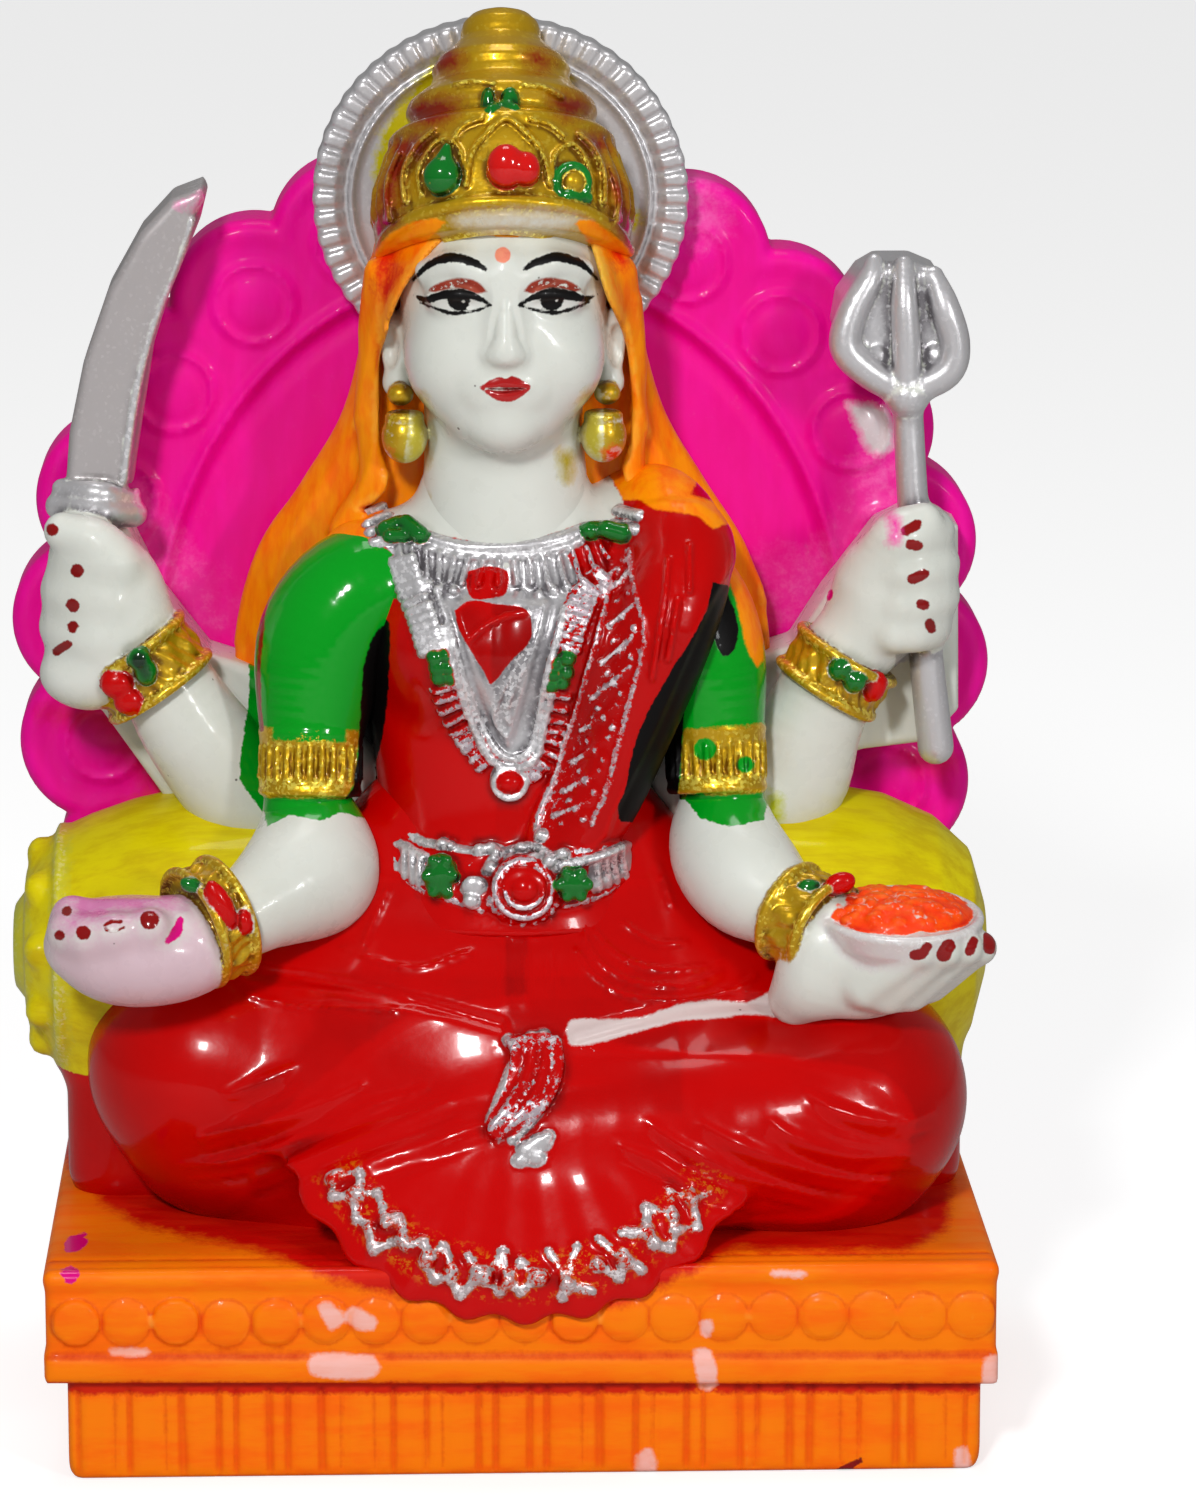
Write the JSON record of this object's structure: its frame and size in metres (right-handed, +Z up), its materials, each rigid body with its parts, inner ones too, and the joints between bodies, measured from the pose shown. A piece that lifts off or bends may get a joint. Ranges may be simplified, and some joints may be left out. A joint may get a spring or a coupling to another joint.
{
  "type": "seated goddess idol",
  "caption": "Small hand-painted temple idol of a four-armed goddess seated on a plinth before a bolster, scalloped backrest and ribbed halo.",
  "frame": {"origin": "middle of the plinth's flat underside", "axes": "+Z up; the goddess faces -Y; +X towards the hand that holds the bowl"},
  "size_m": [0.0793, 0.0472, 0.1118],
  "materials": {
    "resin": "white marble-dust resin, smooth and slightly translucent, painted by hand over most of its surface",
    "red_lacquer": "glossy red brush lacquer on the drape and skirt",
    "green_lacquer": "glossy green brush lacquer on the sleeves",
    "pink_paint": "fluorescent pink poster paint on the backrest",
    "orange_paint": "fluorescent orange poster paint on the plinth and veil",
    "yellow_paint": "yellow poster paint on the bolster",
    "silver_paint": "silver flake paint on the halo, sword, trident and necklace",
    "gold_paint": "gold flake paint on the crown, bangles, armbands and earrings"
  },
  "bodies": {
    "root": {"seated_goddess_idol": "resin"}
  },
  "joints": []
}
